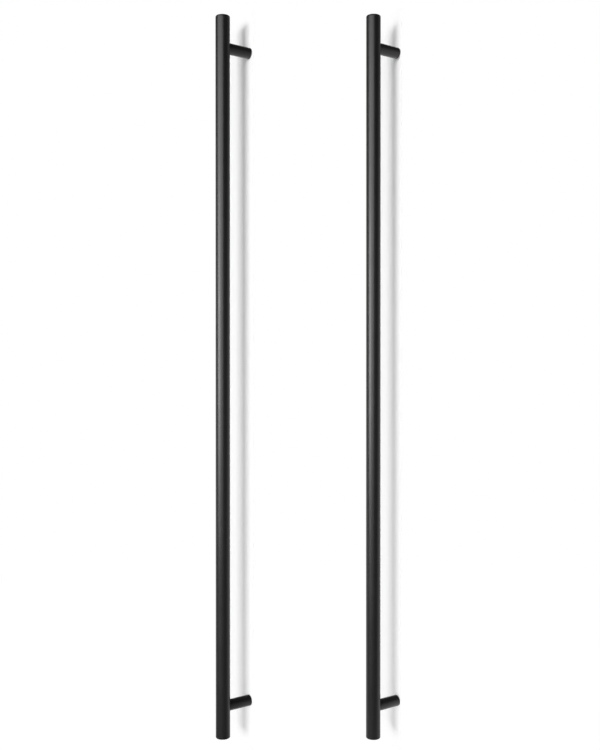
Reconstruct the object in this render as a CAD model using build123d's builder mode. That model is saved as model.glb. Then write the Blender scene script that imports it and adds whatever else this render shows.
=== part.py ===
from build123d import *
import os

# Back-to-back door pull handle: a set of two straight round-bar handles, in millimetres.
# The door face of the left handle is the plane Y = 0, with the door on its +Y side.
# The origin is midway between that handle's two door fixings, and +Z is up.
# Heights along a post are measured from its door face towards the bar, which is along -Y.

# Bar: a drawn tube closed by a turned cap at each end
bar_diameter = 30.0
bar_length = 1500.0
tube_wall = 1.5
cap_thickness = 4.0
cap_edge_radius = 2.5
cap_edge_land = 0.3
cap_plug_depth = 14.0
cap_plug_wall = 2.5
cap_plug_clearance = 0.05

# Posts: turned, saddled over the tube at one end and socketed from the door end
stand_off = 65.0
post_diameter = 23.0
post_inset = 65.0
post_web = 10.0
post_foot_chamfer = 0.5
saddle_clearance = 0.02
washer_thickness = 1.5
washer_edge_chamfer = 0.3

# Post screw: a socket cap screw that draws the post and the saddle nut onto the tube wall
screw_diameter = 8.0
screw_hole_clearance = 0.5
screw_tip_chamfer = 0.8
head_diameter = 13.0
head_height = 8.0
head_clearance = 0.5
head_edge_chamfer = 0.5
head_key_width = 6.0
head_key_depth = 4.0
nut_width = 16.0
nut_length = 24.0
nut_thickness = 8.5
nut_clearance = 0.05
thread_clearance = 0.05

# Door spigot: a boss in the post's socket that takes the through-stud, and the grub screw that holds it
stud_hole_radius = 3.4
spigot_clearance = 0.05
spigot_head_gap = 3.0
spigot_floor = 6.0
spigot_mouth_chamfer = 0.4
groove_depth = 1.4
groove_clearance = 0.5
grub_diameter = 6.0
grub_point_step = 1.0
grub_height = 12.0
grub_recess = 0.5
grub_key_width = 3.0
grub_key_depth = 2.0

# Where the right handle stands from the left one, both turned the same way
pair_offset_x = 188.0
pair_offset_y = 250.0

# Bar sizes that follow
bar_radius = bar_diameter / 2
tube_inner_radius = bar_radius - tube_wall
tube_length = bar_length - 2 * cap_thickness
cap_plug_radius = tube_inner_radius - cap_plug_clearance

# Post and screw sizes that follow
post_radius = post_diameter / 2
post_height = bar_length / 2 - post_inset
screw_radius = screw_diameter / 2
screw_hole_radius = screw_radius + screw_hole_clearance
socket_radius = head_diameter / 2 + head_clearance
saddle_height = stand_off - bar_radius
seat_height = saddle_height - post_web
nut_radius = tube_inner_radius - nut_clearance
nut_back_height = stand_off - nut_radius + nut_thickness

# Spigot and grub screw sizes that follow
spigot_radius = socket_radius - spigot_clearance
spigot_length = seat_height - head_height - spigot_head_gap
groove_radius = spigot_radius - groove_depth
grub_radius = grub_diameter / 2
grub_point_radius = grub_radius - grub_point_step
grub_outer_radius = post_radius - grub_recess

# A hexagon's corner radius from its width across flats
HEX_CORNER = 1 / 3 ** 0.5

# The two handles by their place on the door plane, and the two ends of each by their side of Z = 0
HANDLES = {"left": (0.0, 0.0), "right": (pair_offset_x, pair_offset_y)}
ENDS = {"upper": 1, "lower": -1}

os.makedirs("parts", exist_ok=True)


def bar_plane(place, z, up=1):
    """A plane across the bar at height z, with its normal up or down."""
    x, y = place
    return Plane(origin=(x, y - stand_off, z), x_dir=(1, 0, 0), z_dir=(0, 0, up))


def post_plane(place, end, height):
    """A plane across one post at a height above the door face, with its normal towards the bar."""
    x, y = place
    return Plane(origin=(x, y - height, end * post_height), x_dir=(1, 0, 0), z_dir=(0, -1, 0))


def side_plane(place, end, reach):
    """A plane beside one post, across the grub screw's line, with its normal out along -X."""
    x, y = place
    return Plane(origin=(x - reach, y - grub_height, end * post_height), x_dir=(0, 1, 0), z_dir=(-1, 0, 0))


def keep(piece, label):
    """Labels a finished piece and writes its STEP file."""
    piece.part.label = label
    export_step(piece.part, f"parts/{label}.step")


def grip_tube(place):
    """The long tube, with a cross hole on its back for each post screw."""
    with BuildPart() as tube:
        with BuildSketch(bar_plane(place, -tube_length / 2)):
            Circle(bar_radius)
            Circle(tube_inner_radius, mode=Mode.SUBTRACT)
        extrude(amount=tube_length)
        for end in ENDS.values():
            with BuildSketch(post_plane(place, end, saddle_height)):
                Circle(screw_hole_radius)
            extrude(amount=bar_radius, mode=Mode.SUBTRACT)
    return tube


def end_cap(place, end):
    """A round-edged head that covers the tube's end, on a hollow plug that fills its bore."""
    with BuildPart() as cap:
        with BuildSketch(bar_plane(place, end * tube_length / 2, end)):
            Circle(bar_radius)
        extrude(amount=cap_thickness)
        outer_face = cap.faces().sort_by(Axis((0, 0, 0), (0, 0, end)))[-1]
        fillet(outer_face.edges(), min(cap_edge_radius, cap_thickness - cap_edge_land))
        with BuildSketch(bar_plane(place, end * tube_length / 2, -end)):
            Circle(cap_plug_radius)
            Circle(cap_plug_radius - cap_plug_wall, mode=Mode.SUBTRACT)
        extrude(amount=cap_plug_depth)
    return cap


def post(place, end):
    """A turned post: saddle, web with a screw hole, socket for the spigot, grub screw's hole."""
    with BuildPart() as turned:
        with BuildSketch(post_plane(place, end, washer_thickness)):
            Circle(post_radius)
        extrude(amount=stand_off - washer_thickness)
        foot = turned.faces().sort_by(Axis.Y)[-1]
        chamfer(foot.edges(), post_foot_chamfer)
        with BuildSketch(bar_plane(place, end * post_height - post_diameter)):
            Circle(bar_radius + saddle_clearance)
        extrude(amount=2 * post_diameter, mode=Mode.SUBTRACT)
        with BuildSketch(post_plane(place, end, washer_thickness)):
            Circle(socket_radius)
        extrude(amount=seat_height - washer_thickness, mode=Mode.SUBTRACT)
        with BuildSketch(post_plane(place, end, seat_height)):
            Circle(screw_hole_radius)
        extrude(amount=stand_off - seat_height, mode=Mode.SUBTRACT)
        with BuildSketch(side_plane(place, end, 0)):
            Circle(grub_radius + thread_clearance)
        extrude(amount=post_diameter, mode=Mode.SUBTRACT)
    return turned


def base_washer(place, end):
    """The thin ring between the post's foot and the door."""
    with BuildPart() as washer:
        with BuildSketch(post_plane(place, end, 0)):
            Circle(post_radius)
            Circle(socket_radius, mode=Mode.SUBTRACT)
        extrude(amount=washer_thickness)
        rims = washer.edges().filter_by(GeomType.CIRCLE).filter_by(lambda edge: edge.radius > socket_radius)
        chamfer(rims, washer_edge_chamfer)
    return washer


def saddle_nut(place, end):
    """The tapped block inside the tube, rounded to lie against its inner wall."""
    with BuildPart() as nut:
        with BuildSketch(bar_plane(place, end * post_height - nut_length / 2)):
            Circle(nut_radius)
            with Locations((0, nut_radius - nut_thickness / 2)):
                Rectangle(nut_width, nut_thickness, mode=Mode.INTERSECT)
        extrude(amount=nut_length)
        with BuildSketch(post_plane(place, end, saddle_height)):
            Circle(screw_radius + thread_clearance)
        extrude(amount=bar_diameter, mode=Mode.SUBTRACT)
    return nut


def post_screw(place, end):
    """The cap screw, from its head on the socket's floor to the back of the saddle nut."""
    with BuildPart() as screw:
        with BuildSketch(post_plane(place, end, seat_height - head_height)):
            Circle(head_diameter / 2)
        extrude(amount=head_height)
        rim = screw.faces().sort_by(Axis.Y)[-1]
        chamfer(rim.edges(), head_edge_chamfer)
        with BuildSketch(post_plane(place, end, seat_height)):
            Circle(screw_radius)
        extrude(amount=nut_back_height - seat_height)
        tip = screw.faces().sort_by(Axis.Y)[0]
        chamfer(tip.edges(), screw_tip_chamfer)
        with BuildSketch(post_plane(place, end, seat_height - head_height)):
            RegularPolygon(head_key_width * HEX_CORNER, 6)
        extrude(amount=head_key_depth, mode=Mode.SUBTRACT)
    return screw


def door_spigot(place, end):
    """The boss in the socket, tapped from the door side, with a groove round it for the grub screw."""
    groove_half = grub_point_radius + groove_clearance
    with BuildPart() as spigot:
        with BuildSketch(post_plane(place, end, 0)):
            Circle(spigot_radius)
        extrude(amount=spigot_length)
        with BuildSketch(post_plane(place, end, grub_height - groove_half)):
            Circle(spigot_radius)
            Circle(groove_radius, mode=Mode.SUBTRACT)
        extrude(amount=2 * groove_half, mode=Mode.SUBTRACT)
        with BuildSketch(post_plane(place, end, 0)):
            Circle(stud_hole_radius)
        extrude(amount=spigot_length - spigot_floor, mode=Mode.SUBTRACT)
        mouth = spigot.faces().sort_by(Axis.Y)[-1].inner_wires()
        chamfer(mouth.edges(), spigot_mouth_chamfer)
    return spigot


def grub_screw(place, end):
    """The set screw in the post's side, with its dog point on the floor of the spigot's groove."""
    with BuildPart() as grub:
        with BuildSketch(side_plane(place, end, groove_radius)):
            Circle(grub_point_radius)
        extrude(amount=socket_radius - groove_radius)
        with BuildSketch(side_plane(place, end, socket_radius)):
            Circle(grub_radius)
        extrude(amount=grub_outer_radius - socket_radius)
        with BuildSketch(side_plane(place, end, grub_outer_radius - grub_key_depth)):
            RegularPolygon(grub_key_width * HEX_CORNER, 6)
        extrude(amount=grub_key_depth, mode=Mode.SUBTRACT)
    return grub


# Each handle is one tube with a set of the other pieces at its upper and lower ends
END_PIECES = {
    "end_cap": end_cap,
    "post": post,
    "base_washer": base_washer,
    "saddle_nut": saddle_nut,
    "post_screw": post_screw,
    "door_spigot": door_spigot,
    "grub_screw": grub_screw,
}

for side, place in HANDLES.items():
    keep(grip_tube(place), f"{side}_grip_tube")
    for end_name, end in ENDS.items():
        for piece_name, make in END_PIECES.items():
            keep(make(place, end), f"{side}_{end_name}_{piece_name}")
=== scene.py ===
"""Dressed model of a back-to-back set of two door pull handles in satin black.

Each handle is a straight round bar on two short posts. Its pieces are turned, cut and threaded over their CAD
solids at the same size and place. The studio is white with soft light from the left, and a white blind behind
each handle takes its shadow.
"""

import logging
import math
from dataclasses import dataclass
from enum import Enum
from typing import ClassVar

import bpy
from mathutils import Matrix, Vector


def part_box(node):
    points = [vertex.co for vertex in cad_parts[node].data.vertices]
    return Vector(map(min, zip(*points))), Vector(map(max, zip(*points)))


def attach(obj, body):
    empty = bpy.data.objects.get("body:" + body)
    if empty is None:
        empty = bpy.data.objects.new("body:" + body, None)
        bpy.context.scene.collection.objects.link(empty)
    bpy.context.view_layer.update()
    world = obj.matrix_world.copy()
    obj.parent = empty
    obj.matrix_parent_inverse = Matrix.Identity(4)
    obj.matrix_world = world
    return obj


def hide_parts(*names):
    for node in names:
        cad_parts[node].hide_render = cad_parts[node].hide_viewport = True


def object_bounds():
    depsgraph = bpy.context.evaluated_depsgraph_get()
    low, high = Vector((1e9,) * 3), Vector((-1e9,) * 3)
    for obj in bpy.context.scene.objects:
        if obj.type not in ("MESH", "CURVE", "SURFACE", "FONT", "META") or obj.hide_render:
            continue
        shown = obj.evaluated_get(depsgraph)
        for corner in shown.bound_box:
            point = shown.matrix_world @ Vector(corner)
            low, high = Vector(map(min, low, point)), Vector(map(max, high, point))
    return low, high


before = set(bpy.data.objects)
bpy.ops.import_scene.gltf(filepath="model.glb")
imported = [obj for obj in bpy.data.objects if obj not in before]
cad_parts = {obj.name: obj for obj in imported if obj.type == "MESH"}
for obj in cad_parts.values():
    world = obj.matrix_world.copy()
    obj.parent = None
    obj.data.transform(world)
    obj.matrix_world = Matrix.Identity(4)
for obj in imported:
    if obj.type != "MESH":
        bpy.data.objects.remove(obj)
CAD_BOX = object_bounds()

LOG = logging.getLogger("pull_handle")
MM = 0.001
BODY = "root"
UP = Vector((0.0, 0.0, 1.0))
WHITE = (1.0, 1.0, 1.0, 1.0)
SMOOTH_ANGLE = math.radians(32)
MERGE_DISTANCE = 0.002 * MM
HEXAGON = 6

# The first angle of a rounded corner, in degrees from the radius towards height, and how far it turns
FROM_FACE = -90
FROM_SIDE = 0
QUARTER_TURN = 90

Profile = list[tuple[float, float]]
Colour = tuple[float, float, float]
Socket = bpy.types.NodeSocket


class Side(Enum):
    """The two handles of the set."""

    LEFT = "left"
    RIGHT = "right"


class End(Enum):
    """The two ends of a bar."""

    UPPER = "upper"
    LOWER = "lower"


class Axis(Enum):
    """The directions that pieces are turned along, named for the work."""

    UP_BAR = (0.0, 0.0, 1.0)
    DOOR_TO_BAR = (0.0, -1.0, 0.0)
    OUT_OF_POST = (-1.0, 0.0, 0.0)

    @property
    def vector(self) -> Vector:
        """The axis as a unit vector."""
        return Vector(self.value)

    @property
    def outwards(self) -> Vector:
        """A unit vector square to the axis, along which radii are drawn."""
        return Vector((0.0, 0.0, 1.0)) if self is Axis.OUT_OF_POST else Vector((1.0, 0.0, 0.0))

    @property
    def index(self) -> int:
        """The coordinate that the axis runs along, counted from 0 for X."""
        return [bool(part) for part in self.value].index(True)

    @property
    def letter(self) -> str:
        """The axis letter that a Screw modifier takes."""
        return "XYZ"[self.index]


class Cut(Enum):
    """What a cutter leaves of a piece, in the Boolean modifier's words."""

    TAKE_AWAY = "DIFFERENCE"
    KEEP_COMMON = "INTERSECT"


class Bench:
    """Modelling steps that every piece shares, each one done with Blender's own operators."""

    @staticmethod
    def clear() -> None:
        """Leaves edit mode and deselects everything."""
        if bpy.context.mode != "OBJECT":
            bpy.ops.object.mode_set(mode="OBJECT")
        bpy.ops.object.select_all(action="DESELECT")

    @staticmethod
    def pick(piece: bpy.types.Object) -> None:
        """Makes a piece the active one, and the only one selected.

        Args:
            piece: the piece to work on.
        """
        Bench.clear()
        piece.select_set(True)
        bpy.context.view_layer.objects.active = piece

    @staticmethod
    def open_up() -> None:
        """Goes into edit mode on the active piece, with all of it selected."""
        bpy.ops.object.mode_set(mode="EDIT")
        bpy.ops.mesh.select_all(action="SELECT")

    @staticmethod
    def settle(piece: bpy.types.Object) -> None:
        """Puts a piece's place and turn into its mesh, so that its object sits at the origin."""
        Bench.pick(piece)
        bpy.ops.object.transform_apply(location=True, rotation=True, scale=True)

    @staticmethod
    def close(piece: bpy.types.Object, sides: int = 0) -> None:
        """Fills a piece's open ends, points its faces outwards and settles it.

        Args:
            piece: the piece, in edit mode with all of it selected.
            sides: the most sides that an end may have, or 0 for any number.
        """
        bpy.ops.mesh.fill_holes(sides=sides)
        bpy.ops.mesh.select_all(action="SELECT")
        bpy.ops.mesh.normals_make_consistent(inside=False)
        Bench.settle(piece)

    @staticmethod
    def apply(piece: bpy.types.Object, modifier: bpy.types.Modifier) -> None:
        """Applies one modifier to its piece."""
        Bench.pick(piece)
        bpy.ops.object.modifier_apply(modifier=modifier.name)

    @staticmethod
    def smooth(piece: bpy.types.Object) -> None:
        """Shades a piece smooth, with its real edges kept sharp."""
        Bench.pick(piece)
        bpy.ops.object.shade_smooth_by_angle(angle=SMOOTH_ANGLE)

    @staticmethod
    def draw(name: str, points: list[Vector]) -> bpy.types.Object:
        """Draws a chain of edges through points, starting from one vertex of a plane.

        Args:
            name: the new object's name.
            points: the chain's points in the shared frame.

        Returns:
            The new object, in edit mode with the whole chain selected.
        """
        Bench.clear()
        bpy.ops.mesh.primitive_plane_add(size=MM, location=points[0])
        chain = bpy.context.object
        chain.name = name
        chain.data.name = name
        Bench.open_up()
        bpy.ops.mesh.merge(type="CENTER")
        for start, stop in zip(points, points[1:]):
            bpy.ops.mesh.extrude_vertices_move(TRANSFORM_OT_translate={"value": stop - start})
        bpy.ops.mesh.select_all(action="SELECT")
        return chain

    @staticmethod
    def turn(name: str, profile: Profile, base: Vector, axis: Axis, flats: int) -> bpy.types.Object:
        """Turns a profile about an axis, as on a lathe.

        Args:
            name: the new object's name.
            profile: points as (radius, height) round one half of the section. Where it starts or stops short
                of the axis, a flat disc closes it.
            base: where height 0 lies on the axis.
            axis: the direction of height.
            flats: flats round the full turn.

        Returns:
            The closed piece, settled at the origin.
        """
        points = [base + axis.vector * height + axis.outwards * radius for radius, height in profile]
        piece = Bench.draw(name, points)
        bpy.ops.mesh.spin(steps=flats, angle=math.tau, center=base, axis=axis.vector)
        bpy.ops.mesh.select_all(action="SELECT")
        bpy.ops.mesh.remove_doubles(threshold=MERGE_DISTANCE)
        Bench.close(piece)
        return piece

    @staticmethod
    def prism(radius: float, base: Vector, axis: Axis, length: float, sides: int) -> bpy.types.Object:
        """A round or many-sided rod used as a cutter, with one corner level with its axis.

        Args:
            radius: corner radius.
            base: the middle of its first end.
            axis: the direction it runs in.
            length: how far it runs.
            sides: corners round it.

        Returns:
            The rod, settled at the origin.
        """
        Bench.clear()
        turn = axis.vector.to_track_quat("Z", "X").to_euler()
        middle = base + axis.vector * (length / 2)
        bpy.ops.mesh.primitive_cylinder_add(
            vertices=sides, radius=radius, depth=length, location=middle, rotation=turn
        )
        rod = bpy.context.object
        Bench.settle(rod)
        return rod

    @staticmethod
    def cut(piece: bpy.types.Object, cutter: bpy.types.Object, leaves: Cut = Cut.TAKE_AWAY) -> None:
        """Cuts a piece with a cutter, which is used up, and merges the slivers that are left.

        Args:
            piece: the piece that stays.
            cutter: the solid that is taken from it or kept in common with it.
            leaves: which of the two.
        """
        boolean = piece.modifiers.new("cut", "BOOLEAN")
        boolean.operation = leaves.value
        boolean.solver = "EXACT"
        boolean.object = cutter
        Bench.apply(piece, boolean)
        bpy.data.meshes.remove(cutter.data)
        Bench.open_up()
        bpy.ops.mesh.remove_doubles(threshold=MERGE_DISTANCE)
        Bench.clear()

    @staticmethod
    def copy(piece: bpy.types.Object, name: str, place: Matrix) -> bpy.types.Object:
        """A copy of a piece with its own mesh, carried to another place.

        Args:
            piece: the piece to copy.
            name: the copy's name.
            place: the transform into the copy's place, put into its mesh.

        Returns:
            The copy.
        """
        Bench.pick(piece)
        bpy.ops.object.duplicate(linked=False)
        twin = bpy.context.object
        twin.name = name
        twin.data.name = name
        twin.matrix_world = place
        Bench.settle(twin)
        return twin


@dataclass(frozen=True)
class Thread:
    """A screw thread, cut by a pointed tooth that winds along an axis."""

    pitch: float
    tooth_half: float
    overlap: float = 0.1 * MM
    steps: int = 40

    def cut(
        self, piece: bpy.types.Object, surface: float, root: float, base: Vector, axis: Axis, turns: int
    ) -> None:
        """Cuts the thread into a turned piece.

        Args:
            piece: the piece.
            surface: the radius of the surface that is cut.
            root: the radius that the tooth's point reaches.
            base: where the first turn begins on the axis.
            axis: the direction that the thread runs in.
            turns: whole turns.
        """
        open_side = surface + math.copysign(self.overlap, surface - root)
        tooth = [(open_side, -self.tooth_half), (root, 0.0), (open_side, self.tooth_half)]
        corners = [axis.vector * height + axis.outwards * radius for radius, height in tooth + tooth[:1]]
        cutter = Bench.draw("thread_cutter", corners)
        bpy.ops.mesh.remove_doubles(threshold=MERGE_DISTANCE)
        Bench.settle(cutter)
        cutter.location = base
        sweep = cutter.modifiers.new("sweep", "SCREW")
        sweep.axis = axis.letter
        sweep.iterations = turns
        sweep.screw_offset = self.pitch * sum(axis.value)
        sweep.steps = sweep.render_steps = self.steps
        sweep.use_normal_calculate = True
        Bench.apply(cutter, sweep)
        Bench.open_up()
        Bench.close(cutter, len(tooth))
        Bench.cut(piece, cutter)


def rounded(centre: tuple[float, float], radius: float, start_deg: float, spans: int) -> Profile:
    """A quarter arc that rounds a section's corner.

    Args:
        centre: the arc's centre as (radius, height).
        radius: the arc's radius.
        start_deg: its first angle, measured from the radius direction towards height.
        spans: spans along the arc, negative to run the other way.

    Returns:
        The arc's points.
    """
    way = math.copysign(QUARTER_TURN, spans)
    count = abs(spans)
    angles = [math.radians(start_deg + way * k / count) for k in range(count + 1)]
    return [(centre[0] + radius * math.cos(a), centre[1] + radius * math.sin(a)) for a in angles]


def start_of(node: str, axis: Axis) -> Vector:
    """The middle of the face where a CAD node begins along an axis.

    Args:
        node: the node's name.
        axis: the direction that it runs in.

    Returns:
        The point in the shared frame.
    """
    low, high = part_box(node)
    place = [(first + last) / 2 for first, last in zip(low, high)]
    place[axis.index] = low[axis.index] if axis.value[axis.index] > 0 else high[axis.index]
    return Vector(place)


def foot_of(side: Side, end: End) -> Vector:
    """The middle of a post's foot on the door face, from which heights along the post are measured."""
    return start_of(f"{side.value}_{end.value}_base_washer", Axis.DOOR_TO_BAR)


def towards(azimuth_deg: float) -> Vector:
    """The level direction of an azimuth, which turns from -Y towards +X."""
    turn = math.radians(azimuth_deg)
    return Vector((math.sin(turn), -math.cos(turn), 0.0))


class NodeKit:
    """Wires one material's nodes."""

    def __init__(self, name: str) -> None:
        """Starts an empty material with its output.

        Args:
            name: the material's name.
        """
        self.material = bpy.data.materials.new(name)
        self.material.use_nodes = True
        self.tree = self.material.node_tree
        self.tree.nodes.clear()
        self.output = self.add("ShaderNodeOutputMaterial")

    def add(self, kind: str, **values: object) -> bpy.types.Node:
        """Adds a node and sets the properties and inputs that are named.

        Args:
            kind: the node's type.
            values: properties by name, or inputs by name with spaces written as underscores.

        Returns:
            The new node.
        """
        node = self.tree.nodes.new(kind)
        for key, value in values.items():
            if hasattr(node, key):
                setattr(node, key, value)
            else:
                node.inputs[key.replace("_", " ")].default_value = value
        return node

    def link(self, source: Socket, target: Socket) -> None:
        """Links an output to an input."""
        self.tree.links.new(source, target)

    def show(self, shader: Socket) -> None:
        """Gives the output its shader."""
        self.link(shader, self.output.inputs["Surface"])

    def calculate(self, operation: str, *values: Socket | float) -> Socket:
        """Does one step of arithmetic.

        Args:
            operation: the Math node's operation.
            values: what it works on, as sockets or plain numbers.

        Returns:
            The result.
        """
        node = self.add("ShaderNodeMath", operation=operation)
        for target, value in zip(node.inputs, values):
            if isinstance(value, Socket):
                self.link(value, target)
            else:
                target.default_value = value
        return node.outputs["Value"]

    def noise(self, size: float, detail: float, stretch: Colour = (1.0, 1.0, 1.0)) -> Socket:
        """Noise on Object coordinates.

        Args:
            size: the size of its cells in metres.
            detail: octaves.
            stretch: scale along each axis.

        Returns:
            The noise's value, from 0 to 1.
        """
        coords = self.add("ShaderNodeTexCoord")
        mapping = self.add("ShaderNodeMapping", Scale=stretch)
        noise = self.add("ShaderNodeTexNoise", Scale=1 / size, Detail=detail)
        self.link(coords.outputs["Object"], mapping.inputs["Vector"])
        self.link(mapping.outputs["Vector"], noise.inputs["Vector"])
        return noise.outputs["Fac"]

    def ramp(
        self, value: Socket, span: tuple[float, float], first: float, last: float, soft: bool = False
    ) -> Socket:
        """Maps a value onto a range and holds it at both ends.

        Args:
            value: the value.
            span: where the range begins and ends.
            first: the result at its beginning.
            last: the result at its end.
            soft: whether the result eases in and out.

        Returns:
            The mapped value.
        """
        node = self.add("ShaderNodeMapRange", From_Min=span[0], From_Max=span[1], To_Min=first, To_Max=last)
        node.interpolation_type = "SMOOTHSTEP" if soft else "LINEAR"
        self.link(value, node.inputs["Value"])
        return node.outputs["Result"]

    def tint(self, value: Socket, low: Colour, high: Colour) -> Socket:
        """Mixes two colours by a value.

        Args:
            value: the mix, from 0 to 1.
            low: colour at 0.
            high: colour at 1.

        Returns:
            The mixed colour.
        """
        mix = self.add("ShaderNodeMix", data_type="RGBA")
        colours = [socket for socket in mix.inputs if socket.type == "RGBA"]
        for socket, colour in zip(colours, (low, high)):
            socket.default_value = (*colour, 1)
        self.link(value, mix.inputs["Factor"])
        return next(socket for socket in mix.outputs if socket.type == "RGBA")

    def relief(self, value: Socket, depth: float) -> Socket:
        """Turns a height pattern into a bumped normal.

        Args:
            value: the pattern.
            depth: metres from its low to its high.

        Returns:
            The normal.
        """
        bump = self.add("ShaderNodeBump", Distance=depth)
        self.link(value, bump.inputs["Height"])
        return bump.outputs["Normal"]

    def glow(self, strength: Socket) -> Socket:
        """White light that a surface gives off.

        Args:
            strength: its strength.

        Returns:
            The shader.
        """
        node = self.add("ShaderNodeEmission")
        self.link(strength, node.inputs["Strength"])
        return node.outputs["Emission"]

    def camera_rays(self) -> Socket:
        """1 for rays that come straight from the camera, else 0."""
        return self.add("ShaderNodeLightPath").outputs["Is Camera Ray"]

    def mirror_rays(self) -> Socket:
        """1 for rays that are seen in a reflection or through glass, else 0."""
        rays = self.add("ShaderNodeLightPath").outputs
        return self.calculate("MAXIMUM", rays["Is Glossy Ray"], rays["Is Transmission Ray"])

    def blend(self, share: Socket, off: Socket, on: Socket) -> Socket:
        """Mixes two shaders.

        Args:
            share: the second one's share.
            off: the shader at 0.
            on: the shader at 1.

        Returns:
            The mixed shader.
        """
        mix = self.add("ShaderNodeMixShader")
        for source, target in zip((share, off, on), mix.inputs):
            self.link(source, target)
        return mix.outputs["Shader"]


class WorldKit(NodeKit):
    """Wires the world's nodes in the way of a material's."""

    def __init__(self) -> None:
        """Starts an empty world and makes it the scene's."""
        world = bpy.data.worlds.new("studio")
        bpy.context.scene.world = world
        world.use_nodes = True
        self.tree = world.node_tree
        self.tree.nodes.clear()
        self.output = self.add("ShaderNodeOutputWorld")


@dataclass(frozen=True)
class Finish:
    """A surface finish that is the same all over a piece but for a fine procedural pattern."""

    name: ClassVar[str] = "finish"
    grain_detail: ClassVar[float] = 3.0
    drift_detail: ClassVar[float] = 2.0
    drift_span: ClassVar[tuple[float, float]] = (0.3, 0.7)
    dark: Colour = (0.5, 0.5, 0.5)
    light: Colour = (0.5, 0.5, 0.5)
    rough: tuple[float, float] = (0.4, 0.5)
    metallic: float = 0.0
    specular: float = 0.5
    grain: float = 1.0 * MM
    grain_depth: float = 0.01 * MM
    drift: float = 60 * MM
    stretch: Colour = (1.0, 1.0, 1.0)

    def material(self) -> bpy.types.Material:
        """The finish's material, made the first time it is asked for."""
        return bpy.data.materials.get(self.name) or self.wire()

    def wire(self) -> bpy.types.Material:
        """Builds the material's nodes.

        Returns:
            The new material.
        """
        kit = NodeKit(self.name)
        shader = kit.add("ShaderNodeBsdfPrincipled", Metallic=self.metallic, Specular_IOR_Level=self.specular)
        grain = kit.noise(self.grain, self.grain_detail, self.stretch)
        drift = kit.noise(self.drift, self.drift_detail)
        kit.link(kit.tint(grain, self.dark, self.light), shader.inputs["Base Color"])
        kit.link(kit.ramp(drift, self.drift_span, *self.rough), shader.inputs["Roughness"])
        kit.link(kit.relief(grain, self.grain_depth), shader.inputs["Normal"])
        kit.show(shader.outputs["BSDF"])
        return kit.material


@dataclass(frozen=True)
class SatinBlackCoat(Finish):
    """Baked satin black coat: nearly black, with a faint orange peel and slow changes of sheen."""

    name: ClassVar[str] = "satin_black_coat"
    dark: Colour = (0.002, 0.002, 0.0021)
    light: Colour = (0.005, 0.005, 0.0052)
    rough: tuple[float, float] = (0.33, 0.38)
    grain: float = 0.9 * MM
    grain_depth: float = 0.004 * MM


@dataclass(frozen=True)
class BlackNylon(Finish):
    """Moulded black nylon of the base washers, dull and slightly mottled."""

    name: ClassVar[str] = "black_nylon"
    dark: Colour = (0.010, 0.010, 0.010)
    light: Colour = (0.020, 0.020, 0.020)
    rough: tuple[float, float] = (0.55, 0.65)
    specular: float = 0.35
    grain: float = 0.4 * MM
    drift: float = 8 * MM


@dataclass(frozen=True)
class ZincSteel(Finish):
    """Zinc-plated steel of the spigots and nuts, with a fine cloudy grain."""

    name: ClassVar[str] = "zinc_steel"
    dark: Colour = (0.50, 0.51, 0.53)
    light: Colour = (0.66, 0.67, 0.69)
    rough: tuple[float, float] = (0.24, 0.36)
    metallic: float = 1.0
    grain: float = 0.5 * MM
    grain_depth: float = 0.006 * MM
    drift: float = 5 * MM
    stretch: Colour = (1.0, 4.0, 1.0)


@dataclass(frozen=True)
class BlackOxide(Finish):
    """Oil-black steel of the screws."""

    name: ClassVar[str] = "black_oxide_steel"
    dark: Colour = (0.035, 0.035, 0.038)
    light: Colour = (0.060, 0.060, 0.064)
    rough: tuple[float, float] = (0.34, 0.46)
    metallic: float = 1.0
    grain: float = 0.6 * MM
    grain_depth: float = 0.006 * MM
    drift: float = 6 * MM


@dataclass
class Piece:
    """One kind of piece, modelled once at the left handle's lower end and copied to its other places."""

    tail: ClassVar[str] = ""
    slot: ClassVar[str] = ""
    finish: ClassVar[Finish] = Finish()
    flips: ClassVar[bool] = False

    def build(self) -> bpy.types.Object:
        """Models the piece at its first place."""
        raise NotImplementedError

    def dress(self, piece: bpy.types.Object) -> None:
        """Gives a piece its finish and its smooth shading.

        Args:
            piece: the modelled piece.
        """
        piece.data.materials.clear()
        piece.data.materials.append(self.finish.material())
        Bench.smooth(piece)

    def node(self, side: Side, end: End) -> str:
        """The name of the CAD node that a copy stands for."""
        return f"{side.value}_{end.value}_{self.tail}"

    @property
    def first(self) -> str:
        """The CAD node that the piece is modelled over."""
        return self.node(Side.LEFT, End.LOWER)

    def place(self, side: Side, end: End) -> Matrix:
        """The transform from the first piece's place to another.

        Args:
            side: which handle.
            end: which end of it.

        Returns:
            The transform, turned over for the upper end where the piece faces along the bar.
        """
        start, stop = (sum(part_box(node), Vector()) / 2 for node in (self.first, self.node(side, end)))
        turn = Matrix.Rotation(math.pi, 4, "Y") if self.flips and end is End.UPPER else Matrix.Identity(4)
        return Matrix.Translation(stop) @ turn @ Matrix.Translation(-start)

    def install(self) -> None:
        """Builds and dresses the piece, copies it to all its places and sets each copy on the frame."""
        first = self.build()
        self.dress(first)
        places = {self.node(side, end): self.place(side, end) for side in Side for end in End}
        for node, place in places.items():
            piece = Bench.copy(first, f"{node}_finished", place)
            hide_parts(node)
            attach(piece, BODY)
            LOG.info("%s: %d faces", piece.name, len(piece.data.polygons))
        bpy.data.meshes.remove(first.data)


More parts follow.
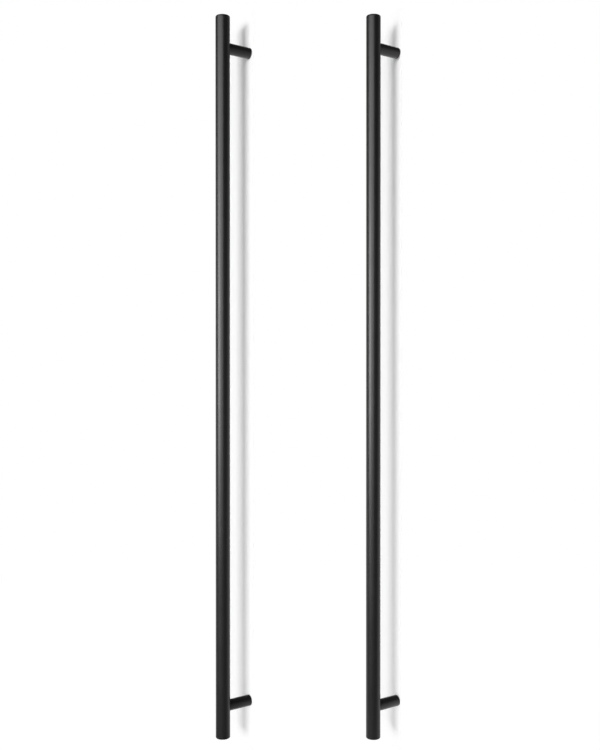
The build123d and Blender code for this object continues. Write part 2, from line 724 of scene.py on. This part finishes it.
@dataclass
class GripTube(Piece):
    """The drawn tube of the bar, with its two cross holes."""

    tail: ClassVar[str] = "grip_tube"
    slot: ClassVar[str] = "black_coat"
    finish: ClassVar[Finish] = SatinBlackCoat()
    wall: float = 1.5 * MM
    rim_break: float = 0.15 * MM
    cross_hole: float = 4.5 * MM
    hole_sides: int = 48
    flats: int = 160
    spans: int = 60

    def node(self, side: Side, end: End) -> str:
        """The name of the handle's one tube, which is the same from both ends."""
        return f"{side.value}_{self.tail}"

    def build(self) -> bpy.types.Object:
        """Turns the tube and drills it at both posts.

        Returns:
            The left handle's tube.
        """
        low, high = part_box(self.first)
        outer = (high.x - low.x) / 2
        inner = outer - self.wall
        length = high.z - low.z
        base = start_of(self.first, Axis.UP_BAR)
        soft = self.rim_break
        run = [soft + (length - 2 * soft) * k / self.spans for k in range(self.spans + 1)]
        profile = [(inner, 0.0), (outer - soft, 0.0)]
        profile += [(outer, height) for height in run]
        profile += [(outer - soft, length), (inner, length)]
        profile += [(inner, height) for height in reversed(run[1:-1])]
        profile.append((inner, 0.0))
        tube = Bench.turn("grip_tube", profile, base, Axis.UP_BAR, self.flats)
        for end in End:
            foot = foot_of(Side.LEFT, end)
            drill = Bench.prism(self.cross_hole, foot, Axis.DOOR_TO_BAR, -base.y, self.hole_sides)
            Bench.cut(tube, drill)
        return tube


@dataclass
class EndCap(Piece):
    """The turned cap that closes a bar's end: a round-edged head on a hollow plug."""

    tail: ClassVar[str] = "end_cap"
    slot: ClassVar[str] = "black_coat"
    finish: ClassVar[Finish] = SatinBlackCoat()
    flips: ClassVar[bool] = True
    edge: float = 2.5 * MM
    seam_break: float = 0.15 * MM
    plug_radius: float = 13.45 * MM
    plug_wall: float = 2.5 * MM
    plug_depth: float = 14.0 * MM
    flats: int = 160
    arc_spans: int = 10

    def build(self) -> bpy.types.Object:
        """Turns the lower cap, with heights measured up from its outer face.

        Returns:
            The left handle's lower cap.
        """
        low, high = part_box(self.first)
        radius = (high.x - low.x) / 2
        top = high.z - low.z
        head = top - self.plug_depth
        bore = self.plug_radius - self.plug_wall
        profile = [(0.0, 0.0)]
        profile += rounded((radius - self.edge, self.edge), self.edge, FROM_FACE, self.arc_spans)
        profile += [(radius, head - self.seam_break), (radius - self.seam_break, head)]
        profile += [(self.plug_radius, head), (self.plug_radius, top), (bore, top), (bore, head), (0.0, head)]
        return Bench.turn("end_cap", profile, start_of(self.first, Axis.UP_BAR), Axis.UP_BAR, self.flats)


@dataclass
class Post(Piece):
    """A turned post, saddled over the bar and bored from its foot for the spigot and the post screw."""

    tail: ClassVar[str] = "post"
    slot: ClassVar[str] = "black_coat"
    finish: ClassVar[Finish] = SatinBlackCoat()
    saddle_clearance: float = 0.02 * MM
    saddle_sides: int = 256
    foot_edge: float = 0.5 * MM
    foot_spans: int = 4
    socket: float = 7.0 * MM
    seat: float = 40.0 * MM
    screw_hole: float = 4.5 * MM
    grub_hole: float = 3.05 * MM
    grub_height: float = 12.0 * MM
    grub_sides: int = 48
    flats: int = 128

    def build(self) -> bpy.types.Object:
        """Turns the post with its bores, then cuts the saddle and the grub screw's hole.

        Returns:
            The left handle's lower post.
        """
        low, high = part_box(self.first)
        bar_low, bar_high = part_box(GripTube().first)
        foot = foot_of(Side.LEFT, End.LOWER)
        radius = (high.x - low.x) / 2
        start = foot.y - high.y
        bar_radius = (bar_high.x - bar_low.x) / 2 + self.saddle_clearance
        bar_axis = Vector((foot.x, (bar_low.y + bar_high.y) / 2, foot.z - 2 * radius))
        stop = foot.y - bar_axis.y
        edge = self.foot_edge
        profile = [(self.screw_hole, stop), (radius, stop)]
        profile += rounded((radius - edge, start + edge), edge, FROM_SIDE, -self.foot_spans)
        profile += [(self.socket, start), (self.socket, self.seat)]
        profile += [(self.screw_hole, self.seat), (self.screw_hole, stop)]
        post = Bench.turn("post", profile, foot, Axis.DOOR_TO_BAR, self.flats)
        Bench.cut(post, Bench.prism(bar_radius, bar_axis, Axis.UP_BAR, 4 * radius, self.saddle_sides))
        side_start = foot + Axis.DOOR_TO_BAR.vector * self.grub_height
        drill = Bench.prism(self.grub_hole, side_start, Axis.OUT_OF_POST, 2 * radius, self.grub_sides)
        Bench.cut(post, drill)
        return post


@dataclass
class BaseWasher(Piece):
    """The thin nylon ring between a post's foot and the door."""

    tail: ClassVar[str] = "base_washer"
    slot: ClassVar[str] = "black_nylon"
    finish: ClassVar[Finish] = BlackNylon()
    edge: float = 0.3 * MM
    bore: float = 7.0 * MM
    arc_spans: int = 3
    flats: int = 128

    def build(self) -> bpy.types.Object:
        """Turns the ring, with both outer edges rounded.

        Returns:
            The left handle's lower washer.
        """
        low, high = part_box(self.first)
        radius = (high.x - low.x) / 2
        thick = high.y - low.y
        profile = [(self.bore, 0.0)]
        profile += rounded((radius - self.edge, self.edge), self.edge, FROM_FACE, self.arc_spans)
        profile += rounded((radius - self.edge, thick - self.edge), self.edge, FROM_SIDE, self.arc_spans)
        profile += [(self.bore, thick), (self.bore, 0.0)]
        return Bench.turn("base_washer", profile, foot_of(Side.LEFT, End.LOWER), Axis.DOOR_TO_BAR, self.flats)


@dataclass
class DoorSpigot(Piece):
    """The tapped boss in a post's socket, grooved for the grub screw."""

    tail: ClassVar[str] = "door_spigot"
    slot: ClassVar[str] = "zinc_steel"
    finish: ClassVar[Finish] = ZincSteel()
    thread: ClassVar[Thread] = Thread(pitch=1.25 * MM, tooth_half=0.5 * MM)
    thread_radius: float = 4.0 * MM
    thread_turns: int = 17
    bore: float = 3.4 * MM
    bore_depth: float = 23.0 * MM
    drill_point: float = 1.9 * MM
    mouth: float = 0.4 * MM
    edge: float = 0.3 * MM
    groove_radius: float = 5.55 * MM
    groove: tuple[float, float] = (9.5 * MM, 14.5 * MM)
    flats: int = 96

    def build(self) -> bpy.types.Object:
        """Turns the boss with its bore and groove, then cuts the thread from the door side.

        Returns:
            The left handle's lower spigot.
        """
        low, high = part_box(self.first)
        radius = (high.x - low.x) / 2
        length = high.y - low.y
        foot = foot_of(Side.LEFT, End.LOWER)
        soft = self.edge
        profile = [(0.0, self.bore_depth + self.drill_point), (self.bore, self.bore_depth)]
        profile += [(self.bore, self.mouth), (self.bore + self.mouth, 0.0)]
        profile += [(radius - soft, 0.0), (radius, soft)]
        profile += [(radius, self.groove[0]), (self.groove_radius, self.groove[0])]
        profile += [(self.groove_radius, self.groove[1]), (radius, self.groove[1])]
        profile += [(radius, length - soft), (radius - soft, length), (0.0, length)]
        spigot = Bench.turn("door_spigot", profile, foot, Axis.DOOR_TO_BAR, self.flats)
        start = foot - Axis.DOOR_TO_BAR.vector * self.thread.pitch
        self.thread.cut(spigot, self.bore, self.thread_radius, start, Axis.DOOR_TO_BAR, self.thread_turns)
        return spigot


@dataclass
class GrubScrew(Piece):
    """The set screw in a post's side: threaded, with a hex socket and a dog point."""

    tail: ClassVar[str] = "grub_screw"
    slot: ClassVar[str] = "black_oxide_steel"
    finish: ClassVar[Finish] = BlackOxide()
    thread: ClassVar[Thread] = Thread(pitch=1.0 * MM, tooth_half=0.42 * MM)
    thread_depth: float = 0.55 * MM
    thread_turns: int = 4
    run_in: float = 0.25 * MM
    point_radius: float = 2.0 * MM
    point_length: float = 1.45 * MM
    edge: float = 0.3 * MM
    key: float = 3.0 * MM
    key_depth: float = 2.0 * MM
    flats: int = 72

    def build(self) -> bpy.types.Object:
        """Turns the screw from its point outwards, cuts its thread and sinks its key.

        Returns:
            The left handle's lower grub screw.
        """
        low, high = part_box(self.first)
        radius = (high.y - low.y) / 2
        length = high.x - low.x
        axis = Axis.OUT_OF_POST
        base = start_of(self.first, axis)
        soft = self.edge
        step = self.point_length
        profile = [(self.point_radius - soft, 0.0), (self.point_radius, soft)]
        profile += [(self.point_radius, step), (radius - soft, step), (radius, step + soft)]
        profile += [(radius, length - soft), (radius - soft, length)]
        screw = Bench.turn("grub_screw", profile, base, axis, self.flats)
        start = base + axis.vector * (step + self.run_in)
        self.thread.cut(screw, radius, radius - self.thread_depth, start, axis, self.thread_turns)
        key_floor = base + axis.vector * (length - self.key_depth)
        Bench.cut(screw, Bench.prism(self.key / math.sqrt(3), key_floor, axis, 2 * self.key_depth, HEXAGON))
        return screw


@dataclass
class PostScrew(Piece):
    """The socket cap screw that draws a post onto the bar."""

    tail: ClassVar[str] = "post_screw"
    slot: ClassVar[str] = "black_oxide_steel"
    finish: ClassVar[Finish] = BlackOxide()
    thread: ClassVar[Thread] = Thread(pitch=1.25 * MM, tooth_half=0.5 * MM)
    thread_depth: float = 0.65 * MM
    plain_length: float = 5.0 * MM
    head_height: float = 8.0 * MM
    head_edge: float = 0.5 * MM
    head_spans: int = 4
    shank_radius: float = 4.0 * MM
    tip_edge: float = 0.8 * MM
    key: float = 6.0 * MM
    key_depth: float = 4.0 * MM
    flats: int = 96

    def build(self) -> bpy.types.Object:
        """Turns the screw from its head to its tip, sinks its key and cuts its thread.

        Returns:
            The left handle's lower post screw.
        """
        low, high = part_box(self.first)
        head_radius = (high.x - low.x) / 2
        length = high.y - low.y
        axis = Axis.DOOR_TO_BAR
        base = start_of(self.first, axis)
        shank, neck = self.shank_radius, self.head_height
        edge = self.head_edge
        profile = rounded((head_radius - edge, edge), edge, FROM_FACE, self.head_spans)
        profile += [(head_radius, neck), (shank, neck), (shank, length - self.tip_edge)]
        profile.append((shank - self.tip_edge, length))
        screw = Bench.turn("post_screw", profile, base, axis, self.flats)
        key_start = base - axis.vector * self.key_depth
        Bench.cut(screw, Bench.prism(self.key / math.sqrt(3), key_start, axis, 2 * self.key_depth, HEXAGON))
        thread_start = neck + self.plain_length
        turns = math.ceil((length - thread_start) / self.thread.pitch) + 1
        start = base + axis.vector * thread_start
        self.thread.cut(screw, shank, shank - self.thread_depth, start, axis, turns)
        return screw


@dataclass
class SaddleNut(Piece):
    """The tapped block inside the tube, rounded to its wall."""

    tail: ClassVar[str] = "saddle_nut"
    slot: ClassVar[str] = "zinc_steel"
    finish: ClassVar[Finish] = ZincSteel()
    wall_radius: float = 13.45 * MM
    wall_sides: int = 256
    hole: float = 4.05 * MM
    hole_sides: int = 64
    edge: float = 0.4 * MM
    edge_spans: int = 2

    def build(self) -> bpy.types.Object:
        """Shapes a block to the tube's wall, breaks its edges and drills it.

        Returns:
            The left handle's lower saddle nut.
        """
        low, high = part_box(self.first)
        size = high - low
        Bench.clear()
        bpy.ops.mesh.primitive_cube_add(size=1.0, location=(low + high) / 2, scale=size)
        nut = bpy.context.object
        nut.name = "saddle_nut"
        Bench.settle(nut)
        bar_axis = start_of(GripTube().first, Axis.UP_BAR)
        bar_axis.z = low.z - size.z
        wall = Bench.prism(self.wall_radius, bar_axis, Axis.UP_BAR, 3 * size.z, self.wall_sides)
        Bench.cut(nut, wall, Cut.KEEP_COMMON)
        broken = nut.modifiers.new("broken_edges", "BEVEL")
        broken.width = self.edge
        broken.segments = self.edge_spans
        broken.limit_method = "ANGLE"
        broken.angle_limit = SMOOTH_ANGLE
        Bench.apply(nut, broken)
        foot = foot_of(Side.LEFT, End.LOWER)
        depth = foot.y - bar_axis.y + size.y
        Bench.cut(nut, Bench.prism(self.hole, foot, Axis.DOOR_TO_BAR, depth, self.hole_sides))
        return nut


@dataclass(frozen=True)
class Room:
    """Painted reflections of the studio in the world and floor: a white sweep behind the set, dimmer in front
    and above.
    """

    sweep_azimuth_deg: float = 215.0
    front: float = 0.25
    ceiling: float = 0.12
    floor_span: tuple[float, float] = (-0.15, 0.15)
    wall_span: tuple[float, float] = (-0.10, 0.40)
    ceiling_span: tuple[float, float] = (0.0, 0.5)

    def ahead(self, kit: NodeKit, place: Socket, span: tuple[float, float]) -> Socket:
        """The level that a reflection shows, from the dim front to the white sweep.

        Args:
            kit: the material or world being wired.
            place: the place or direction that is reflected.
            span: the depths towards the sweep at which the front's level ends and full white begins.

        Returns:
            The level.
        """
        depth = kit.add("ShaderNodeVectorMath", operation="DOT_PRODUCT")
        depth.inputs[1].default_value = towards(self.sweep_azimuth_deg)
        kit.link(place, depth.inputs[0])
        return kit.ramp(depth.outputs["Value"], span, self.front, 1.0, soft=True)

    def above(self, kit: NodeKit, direction: Socket) -> Socket:
        """The share of that level that is left towards the ceiling.

        Args:
            kit: the world being wired.
            direction: the direction that is reflected.

        Returns:
            The share, 1 at eye level.
        """
        parts = kit.add("ShaderNodeSeparateXYZ")
        kit.link(direction, parts.inputs["Vector"])
        return kit.ramp(parts.outputs["Z"], self.ceiling_span, 1.0, self.ceiling, soft=True)


class EvenWhite:
    """Paint that takes the lamps' shadows, with a glow that makes up the rest of one even white."""

    def surface(self, kit: NodeKit, paint: Socket, light: Socket | float) -> Socket:
        """Wires the lit paint and its glow.

        Args:
            kit: the material being wired.
            paint: the paint's lightness.
            light: the light that falls on it away from any shadow.

        Returns:
            The shader, which shows white wherever nothing shades it.
        """
        rest = kit.calculate("SUBTRACT", 1.0, kit.calculate("MULTIPLY", paint, light))
        coat = kit.add("ShaderNodeBsdfDiffuse")
        kit.link(paint, coat.inputs["Color"])
        both = kit.add("ShaderNodeAddShader")
        kit.link(coat.outputs["BSDF"], both.inputs[0])
        kit.link(kit.glow(rest), both.inputs[1])
        return both.outputs["Shader"]


@dataclass(frozen=True)
class FloorWhite(EvenWhite):
    """The plain pale floor: white where it is seen, with soft shadows near the set.

    In reflections it shows a painted reflection glow, dimmer in front of the set.
    """

    name: str = "floor_white"
    bounce: float = 0.62
    near_paint: float = 0.35
    light: float = 0.55
    fade_span: tuple[float, float] = (0.8, 2.2)

    def material(self, room: Room) -> bpy.types.Material:
        """Builds the floor's material.

        Args:
            room: the studio as reflections show it.

        Returns:
            The new material.
        """
        kit = NodeKit(self.name)
        place = kit.add("ShaderNodeTexCoord").outputs["Object"]
        away = kit.add("ShaderNodeVectorMath", operation="LENGTH")
        kit.link(place, away.inputs[0])
        paint = kit.ramp(away.outputs["Value"], self.fade_span, self.near_paint, 0.0)
        bounce = kit.add("ShaderNodeBsdfDiffuse", Color=(self.bounce, self.bounce, self.bounce, 1))
        # painted reflection: the floor glows to mirror rays, dim in front of the set and white behind it
        mirrored = kit.glow(room.ahead(kit, place, room.floor_span))
        seen = kit.blend(kit.camera_rays(), bounce.outputs["BSDF"], self.surface(kit, paint, self.light))
        kit.show(kit.blend(kit.mirror_rays(), seen, mirrored))
        return kit.material


@dataclass(frozen=True)
class BlindWhite(EvenWhite):
    """The white of a blind's slats, seen from their front only.

    Its glow paints in fill light that makes the lamps' shadows softer towards the floor, and its paint runs
    out just past the bars' ends.
    """

    name: str = "blind_white"
    upper_paint: float = 0.70
    lower_paint: float = 0.48
    upper_light: float = 1.245
    lower_light: float = 1.16
    fade: float = 40 * MM

    def material(self) -> bpy.types.Material:
        """Builds the slats' material.

        Returns:
            The new material.
        """
        kit = NodeKit(self.name)
        low, high = (corner.z for corner in CAD_BOX)
        parts = kit.add("ShaderNodeSeparateXYZ")
        kit.link(kit.add("ShaderNodeTexCoord").outputs["Object"], parts.inputs["Vector"])
        height = parts.outputs["Z"]
        ends = kit.ramp(kit.calculate("ABSOLUTE", height), (high, high + self.fade), 1.0, 0.0)
        # painted fill light: the paint falls towards the floor and the glow rises to keep the white, so the
        # shadows there are painted lighter
        shadow_depth_paint = kit.ramp(height, (low, high), self.lower_paint, self.upper_paint)
        light = kit.ramp(height, (low, high), self.lower_light, self.upper_light)
        front = self.surface(kit, kit.calculate("MULTIPLY", shadow_depth_paint, ends), light)
        clear = kit.add("ShaderNodeBsdfTransparent").outputs["BSDF"]
        kit.show(kit.blend(kit.add("ShaderNodeNewGeometry").outputs["Backfacing"], front, clear))
        return kit.material


class Role(Enum):
    """What a lamp is for: to light surfaces, or only to be seen in their gloss."""

    LIGHT = "light"
    GLOSS = "gloss"


@dataclass(frozen=True)
class Softbox:
    """A soft rectangular lamp, aimed at the middle of the set."""

    name: str
    role: Role
    azimuth_deg: float
    distance: float
    height: float
    width: float
    tall: float
    watts: float

    def hang(self, aim: Vector) -> None:
        """Makes the lamp.

        Args:
            aim: the point that it faces.
        """
        place = aim + towards(self.azimuth_deg) * self.distance + UP * self.height
        data = bpy.data.lights.new(self.name, "AREA")
        data.shape = "RECTANGLE"
        data.size = self.width
        data.size_y = self.tall
        data.energy = self.watts
        lamp = bpy.data.objects.new(self.name, data)
        bpy.context.scene.collection.objects.link(lamp)
        lamp.location = place
        lamp.rotation_euler = (aim - place).to_track_quat("-Z", "Y").to_euler()
        lamp.visible_camera = False
        lamp.visible_diffuse = self.role is Role.LIGHT
        lamp.visible_glossy = self.role is Role.GLOSS
        LOG.info("lamp %s at %s", self.name, [round(v, 3) for v in place])


@dataclass
class Studio:
    """The camera at the photograph's angle, a blind behind each handle, the floor and the light."""

    azimuth_deg: float = 53.27
    pitch_deg: float = 0.314
    distance: float = 2.0375
    lens: float = 47.05
    sensor: float = 36.0
    clip: tuple[float, float] = (0.01, 100.0)
    aim_right: float = 4.05 * MM
    aim_up: float = 5.3 * MM
    blind_gap: float = 0.9 * MM
    left_slant_deg: float = 64.2
    right_slant_deg: float = 72.3
    blind_left: float = 190 * MM
    blind_right: float = 4 * MM
    slat_turn_deg: float = 50.0
    slat_pitch: float = 0.9 * MM
    slat_width: float = 0.5 * MM
    floor_drop: float = 50 * MM
    floor_size: float = 12.0
    floor_sides: int = 96
    ambient: float = 0.35

    def middle(self) -> Vector:
        """The point midway between the two bars."""
        corners = [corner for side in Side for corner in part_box(GripTube().node(side, End.LOWER))]
        return sum(corners, Vector()) / len(corners)

    def sight(self) -> tuple[Vector, Vector]:
        """Works out how the camera stands.

        Returns:
            Its place and the direction that it looks in.
        """
        forward = -towards(self.azimuth_deg)
        aim = self.middle() + forward.cross(UP) * self.aim_right + UP * self.aim_up
        pitch = math.radians(self.pitch_deg)
        look = forward * math.cos(pitch) - UP * math.sin(pitch)
        return aim - look * self.distance, look

    def shoot(self) -> None:
        """Makes the camera and gives it to the scene."""
        eye, look = self.sight()
        data = bpy.data.cameras.new("photo_camera")
        data.lens = self.lens
        data.sensor_width = self.sensor
        data.clip_start, data.clip_end = self.clip
        camera = bpy.data.objects.new("photo_camera", data)
        bpy.context.scene.collection.objects.link(camera)
        camera.location = eye
        camera.rotation_mode = "QUATERNION"
        camera.rotation_quaternion = look.to_track_quat("-Z", "Y")
        bpy.context.scene.camera = camera

    def hang_blind(self, side: Side) -> bpy.types.Object:
        """Hangs a white blind of upright slats at the feet of one handle, where the door would be.

        Args:
            side: which handle.

        Returns:
            The blind, which takes that handle's shadow, throws none and shows only from the slats' front.
        """
        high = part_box(f"{side.value}_lower_base_washer")[1]
        corner = Vector((high.x, high.y + self.blind_gap, 0.0))
        view = self.sight()[0] - corner
        slant_deg = self.left_slant_deg if side is Side.LEFT else self.right_slant_deg
        along = math.atan2(view.x, -view.y) - math.radians(slant_deg)
        step = Vector((math.cos(along), math.sin(along), 0.0)) * self.slat_pitch
        before = math.ceil(self.blind_left / self.slat_pitch)
        after = math.ceil(self.blind_right / self.slat_pitch)
        Bench.clear()
        bpy.ops.mesh.primitive_plane_add(size=1.0)
        blind = bpy.context.object
        blind.name = f"{side.value}_blind"
        blind.scale = (self.slat_width, CAD_BOX[1].z - CAD_BOX[0].z + 2 * self.floor_drop, 1.0)
        blind.rotation_euler = (math.pi / 2, 0.0, math.radians(self.slat_turn_deg))
        blind.location = corner - step * before
        Bench.settle(blind)
        slats = blind.modifiers.new("slats", "ARRAY")
        slats.use_relative_offset = False
        slats.use_constant_offset = True
        slats.constant_offset_displace = step
        slats.count = before + after + 1
        Bench.apply(blind, slats)
        blind.visible_shadow = False
        blind.visible_diffuse = False
        blind.visible_glossy = False
        return blind

    def lay_stage(self, room: Room) -> None:
        """Hangs a blind behind each handle and lays the floor below the bars.

        Args:
            room: the studio as reflections show it.
        """
        white = BlindWhite().material()
        blinds = [self.hang_blind(side) for side in Side]
        for blind in blinds:
            blind.data.materials.append(white)
        middle = self.middle()
        Bench.clear()
        bpy.ops.mesh.primitive_circle_add(
            vertices=self.floor_sides, radius=self.floor_size / 2, fill_type="NGON"
        )
        floor = bpy.context.object
        floor.name = "pale_floor"
        floor.location = Vector((middle.x, middle.y, CAD_BOX[0].z - self.floor_drop))
        Bench.settle(floor)
        floor.data.materials.append(FloorWhite().material(room))

    def surround(self, room: Room) -> None:
        """Sets the world, which is white to the camera, lights softly and shows the room in reflections.

        Args:
            room: the studio as reflections show it.
        """
        kit = WorldKit()
        direction = kit.add("ShaderNodeTexCoord").outputs["Generated"]
        # painted reflection: mirror rays see the world dim in front and above and white behind, unlike the
        # even light it gives
        ahead = room.ahead(kit, direction, room.wall_span)
        level = kit.calculate("MULTIPLY", ahead, room.above(kit, direction))
        lighting = kit.add("ShaderNodeBackground", Color=WHITE, Strength=self.ambient)
        reflected = kit.add("ShaderNodeBackground", Color=WHITE)
        kit.link(level, reflected.inputs["Strength"])
        white = kit.add("ShaderNodeBackground", Color=WHITE, Strength=1.0)
        unseen = kit.blend(kit.mirror_rays(), lighting.outputs["Background"], reflected.outputs["Background"])
        kit.show(kit.blend(kit.camera_rays(), unseen, white.outputs["Background"]))

    def hang_lamps(self) -> None:
        """Hangs the lamps, with their azimuths measured from the camera's."""
        near = self.azimuth_deg
        lamps = [
            Softbox(
                name="key_softbox", role=Role.LIGHT, azimuth_deg=near - 32.0,
                distance=8.0, height=0.55, width=3.2, tall=2.0, watts=560.0,
            ),
            Softbox(
                name="front_fill", role=Role.LIGHT, azimuth_deg=near - 19.0,
                distance=8.0, height=1.2, width=5.0, tall=5.0, watts=100.0,
            ),
            Softbox(
                name="rear_fill", role=Role.LIGHT, azimuth_deg=near + 165.0,
                distance=3.5, height=0.8, width=1.6, tall=1.6, watts=40.0,
            ),
            Softbox(
                name="wide_silk", role=Role.GLOSS, azimuth_deg=near - 38.0,
                distance=3.5, height=0.90, width=6.3, tall=3.0, watts=190.0,
            ),
            Softbox(
                name="side_silk", role=Role.GLOSS, azimuth_deg=near - 57.0,
                distance=3.5, height=0.19, width=2.2, tall=1.1, watts=62.0,
            ),
        ]
        for lamp in lamps:
            lamp.hang(self.middle())


def main() -> None:
    """Builds the pieces, then the studio."""
    logging.basicConfig(level=logging.INFO, format="%(message)s")
    bpy.context.scene.view_settings.view_transform = "Standard"
    pieces: list[Piece] = [
        GripTube(), EndCap(), Post(), BaseWasher(), DoorSpigot(), GrubScrew(), PostScrew(), SaddleNut(),
    ]
    for piece in pieces:
        piece.install()
    studio = Studio()
    room = Room()
    studio.shoot()
    studio.lay_stage(room)
    studio.surround(room)
    studio.hang_lamps()


if __name__ == "__main__":
    main()
